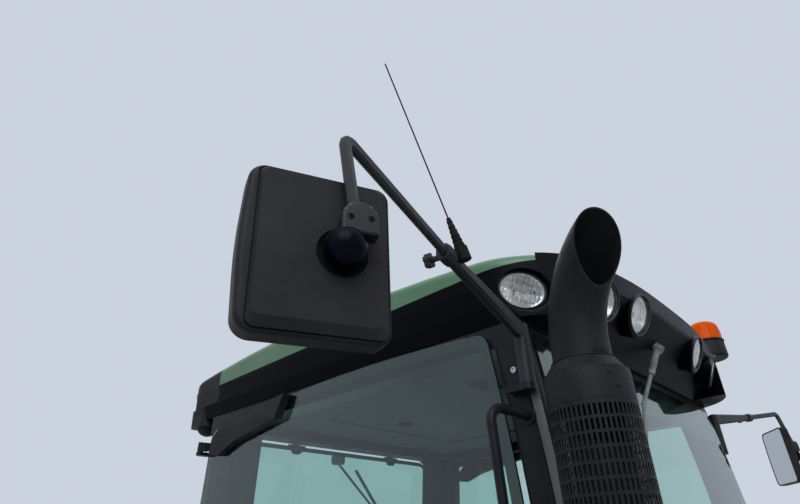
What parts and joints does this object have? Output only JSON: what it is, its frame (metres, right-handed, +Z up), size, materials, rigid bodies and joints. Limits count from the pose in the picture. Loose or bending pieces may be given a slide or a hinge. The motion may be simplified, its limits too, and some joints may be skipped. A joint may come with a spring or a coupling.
{
  "type": "tractor cab",
  "caption": "Glazed tractor cab with roof lamps, beacon, folding mirrors, guarded exhaust stack, glass doors and a rear window.",
  "frame": {"origin": "centre of the four cab mounts, on their underside", "axes": "+X forward, +Y to the driver's left, +Z up"},
  "size_m": [1.8973, 3.1562, 2.1175],
  "materials": {
    "black_paint": "satin black frame paint",
    "green_shell": "weathered green roof moulding",
    "black_moulding": "fine-grained black moulding",
    "gloss_black": "glossy black visor moulding",
    "cab_glass": "green-tinted safety glass",
    "lamp_lens": "clear fluted lens",
    "lamp_cup": "bright reflector in a black cup",
    "amber_lens": "amber beacon lens",
    "rubber_black": "black rubber",
    "stack_steel": "heat-proof black paint, slightly rough",
    "mirror_surface": "silvered mirror glass",
    "wiper_grey": "weathered grey arm paint",
    "trim_grey": "grey interior moulding",
    "seat_fabric": "dark seat cloth"
  },
  "bodies": {
    "root": {"floor_frame": "black_paint", "front_wall": "black_paint", "rear_wall": "black_paint", "wheel_arch_left": "black_paint", "wheel_arch_right": "black_paint", "front_post_left": "black_paint", "front_post_right": "black_paint", "rear_post_left": "black_paint", "rear_post_right": "black_paint", "roof_ring": "black_paint", "headliner": "trim_grey", "sun_blind": "black_moulding", "roof_skirt": "gloss_black", "roof_shell": "green_shell", "work_lamps": "lamp_cup", "work_lamp_lenses": "lamp_lens", "corner_lamps": "lamp_cup", "corner_lamp_lenses": "lamp_lens", "rear_corner_lamps": "black_moulding", "beacon_base": "black_moulding", "beacon_dome": "amber_lens", "windscreen": "cab_glass", "windscreen_wiper": "wiper_grey", "grab_handle_left": "black_paint", "grab_handle_right": "black_paint", "mirror_hinge_left": "black_paint", "mirror_hinge_right": "black_paint", "exhaust_stack": "stack_steel", "stack_guard": "stack_steel", "stack_brackets": "black_paint", "seat_suspension": "rubber_black", "seat_cushion": "seat_fabric", "seat_back": "seat_fabric", "side_console": "trim_grey", "front_console": "black_moulding"},
    "door_left": {"door_pane_left": "cab_glass", "door_fittings_left": "black_moulding", "door_corner_cover_left": "black_moulding"},
    "door_right": {"door_pane_right": "cab_glass", "door_fittings_right": "black_moulding", "door_corner_cover_right": "black_moulding"},
    "rear_window": {"rear_window_pane": "cab_glass", "rear_window_fittings": "black_paint", "rear_wiper": "black_moulding"},
    "mirror_left": {"mirror_arm_left": "black_paint", "mirror_head_left": "black_moulding", "mirror_glass_left": "mirror_surface"},
    "mirror_right": {"mirror_arm_right": "black_paint", "mirror_head_right": "black_moulding", "mirror_glass_right": "mirror_surface", "radio_whip": "rubber_black"},
    "steering": {"steering_wheel": "black_moulding"}
  },
  "joints": [
    {"name": "door_left_swing", "type": "hinge", "parent": "root", "child": "door_left", "pos_m": [-0.77334, 0.785, 0.905], "axis": [0.0929, 0, 0.9957], "range_deg": [0, 70]},
    {"name": "door_right_swing", "type": "hinge", "parent": "root", "child": "door_right", "pos_m": [-0.77334, -0.785, 0.905], "axis": [-0.0929, 0, -0.9957], "range_deg": [0, 70]},
    {"name": "rear_window_swing", "type": "hinge", "parent": "root", "child": "rear_window", "pos_m": [-0.74501, 0, 1.573], "axis": [0, 1, 0], "range_deg": [0, 50]},
    {"name": "mirror_left_fold", "type": "hinge", "parent": "root", "child": "mirror_left", "pos_m": [0.7, 0.774, 1.44], "axis": [0, 0, -1], "range_deg": [-60, 30]},
    {"name": "mirror_right_fold", "type": "hinge", "parent": "root", "child": "mirror_right", "pos_m": [0.7, -0.774, 1.44], "axis": [0, 0, 1], "range_deg": [-60, 30]},
    {"name": "steering_turn", "type": "hinge", "parent": "root", "child": "steering", "pos_m": [0.36402, 0, 0.99961], "axis": [-0.5299, 0, 0.848], "continuous": true}
  ]
}
